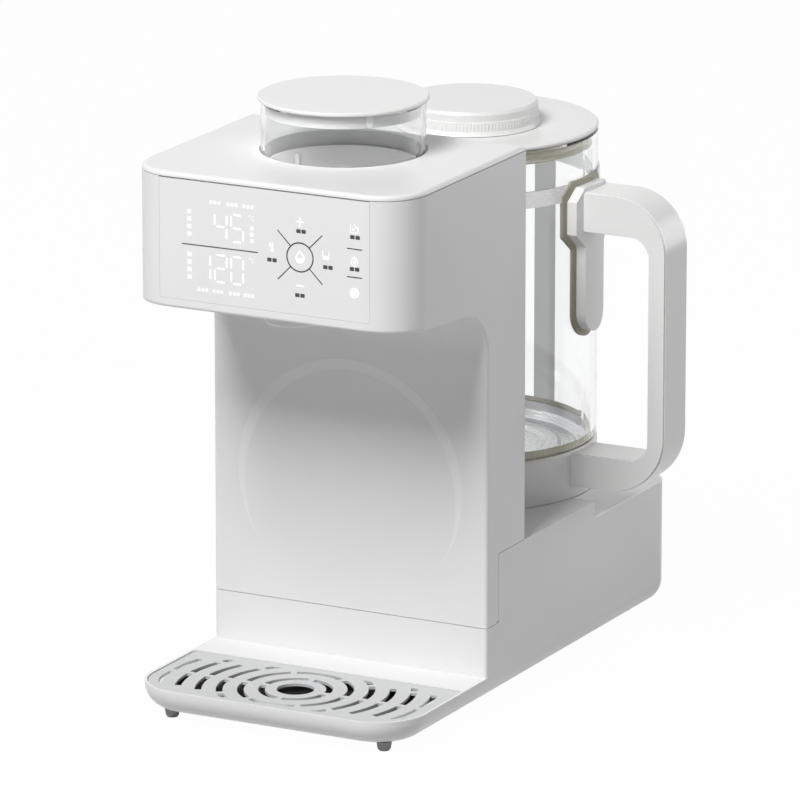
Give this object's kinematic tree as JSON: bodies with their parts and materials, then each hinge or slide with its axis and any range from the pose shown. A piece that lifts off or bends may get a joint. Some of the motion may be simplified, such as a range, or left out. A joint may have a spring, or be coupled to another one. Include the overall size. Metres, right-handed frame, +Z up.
{
  "type": "baby formula maker",
  "caption": "Countertop formula maker: C-shaped machine with a powder hopper in its head, a touch panel, a drip grill, and a lift-off glass kettle jug on its rear deck.",
  "frame": {"origin": "centre of the whole object's footprint, on the surface that it stands on", "axes": "+Z up, -Y to the front where the control panel and drip tray are, +X to the jug's handle"},
  "size_m": [0.205, 0.3214, 0.3275],
  "materials": {
    "white_shell": "satin moulded plastic",
    "panel": "smooth touch panel",
    "white_trim": "satin moulded plastic",
    "grill_grey": "fine matt plastic",
    "tray_dark": "matt plastic",
    "foot_rubber": "matt",
    "screw_steel": "bright steel",
    "clear_cup": "clear moulded plastic",
    "jug_glass": "clear borosilicate glass",
    "dish_steel": "brushed stainless steel",
    "lid_silicone": "soft olive silicone",
    "ring_grey": "satin plastic",
    "inner_white": "moulded plastic",
    "valve_grey": "soft silicone",
    "board_green": "circuit board",
    "motor_metal": "zinc plated can",
    "inlet_black": "matt plastic",
    "pin_brass": "nickel plated brass",
    "hose_clear": "translucent silicone"
  },
  "bodies": {
    "machine": {"base_pan": "white_shell", "feet": "foot_rubber", "base_screws": "screw_steel", "lower_housing": "white_shell", "tower_shell": "white_shell", "control_panel": "panel", "back_cover": "white_shell", "back_screws": "screw_steel", "top_cover": "white_shell", "hopper_seat": "white_trim", "dosing_bracket": "inner_white", "dosing_motor": "motor_metal", "powder_chute": "white_trim", "nozzle": "white_trim", "display_board": "board_green", "main_board": "board_green", "power_board": "board_green", "power_inlet": "inlet_black", "inlet_pins": "pin_brass", "coupler_base": "inlet_black", "water_seat": "valve_grey", "seat_pin": "inner_white", "pump_body": "inner_white", "pump_motor": "motor_metal", "pump_cradle": "inner_white", "flow_meter": "inner_white", "supply_hose": "hose_clear", "riser_lower": "hose_clear", "riser_upper": "hose_clear"},
    "tray": {"drip_tray": "tray_dark"},
    "grill": {"drip_grill": "grill_grey"},
    "hopper": {"hopper_cup": "clear_cup", "hopper_funnel": "white_trim"},
    "dosing_wheel": {"dosing_rotor": "inner_white", "agitator": "inner_white"},
    "hopper_cap": {"hopper_lid": "white_trim", "lid_ring": "ring_grey", "lid_ring_seal": "lid_silicone"},
    "gear": {"drive_gear": "inner_white"},
    "pinion": {"motor_pinion": "inner_white"},
    "impeller": {"pump_impeller": "inner_white"},
    "jug": {"jug_collar": "white_trim", "jug_glass": "jug_glass", "heater_plate": "dish_steel", "glass_seal": "lid_silicone", "heating_element": "dish_steel", "jug_bottom": "white_trim", "jug_coupler": "white_trim", "valve_body": "inner_white", "valve_spring": "screw_steel", "glass_band": "screw_steel", "handle_gasket": "lid_silicone", "handle_body": "white_trim", "handle_cover": "white_trim", "handle_screws": "screw_steel"},
    "valve": {"valve_plunger": "valve_grey"},
    "lid": {"jug_lid": "white_trim", "lid_plug": "white_trim", "lid_seal": "lid_silicone"},
    "knob": {"lid_knob": "white_trim"}
  },
  "joints": [
    {"name": "jug_lift", "type": "slide", "parent": "machine", "child": "jug", "axis": [0, 0, 1], "range_m": [0, 0.12]},
    {"name": "jug_lid_lift", "type": "slide", "parent": "jug", "child": "lid", "axis": [0, 0, 1], "range_m": [0, 0.06]},
    {"name": "vent_knob_turn", "type": "hinge", "parent": "lid", "child": "knob", "pos_m": [-0.02088, 0.0767, 0.285], "axis": [0, 0, 1], "range_deg": [0, 90]},
    {"name": "valve_lift", "type": "slide", "parent": "jug", "child": "valve", "axis": [0, 0, 1], "range_m": [0, 0.003], "stiffness_N_per_m": 300, "springref_m": -0.003, "deforming": ["valve_spring"]},
    {"name": "hopper_lift", "type": "slide", "parent": "machine", "child": "hopper", "axis": [0, 0, 1], "range_m": [0, 0.08]},
    {"name": "hopper_lid_lift", "type": "slide", "parent": "hopper", "child": "hopper_cap", "axis": [0, 0, 1], "range_m": [0, 0.04]},
    {"name": "dosing_spin", "type": "hinge", "parent": "hopper", "child": "dosing_wheel", "pos_m": [-0.02088, -0.0687, 0.26], "axis": [0, 0, 1], "continuous": true},
    {"name": "gear_spin", "type": "hinge", "parent": "machine", "child": "gear", "pos_m": [-0.02088, -0.0687, 0.246], "axis": [0, 0, 1], "continuous": true},
    {"name": "pinion_spin", "type": "hinge", "parent": "machine", "child": "pinion", "pos_m": [-0.00504, -0.05286, 0.246], "axis": [0, 0, 1], "continuous": true},
    {"name": "pump_spin", "type": "hinge", "parent": "machine", "child": "impeller", "pos_m": [-0.03087, 0.0293, 0.034], "axis": [1, 0, 0], "continuous": true},
    {"name": "tray_lift", "type": "slide", "parent": "machine", "child": "tray", "axis": [0, 0, 1], "range_m": [0, 0.03]},
    {"name": "grill_lift", "type": "slide", "parent": "tray", "child": "grill", "axis": [0, 0, 1], "range_m": [0, 0.03]}
  ],
  "couplings": [
    {"joint": "pinion_spin", "follows": "gear_spin", "ratio": -2.5},
    {"joint": "dosing_spin", "follows": "gear_spin", "ratio": 1}
  ]
}
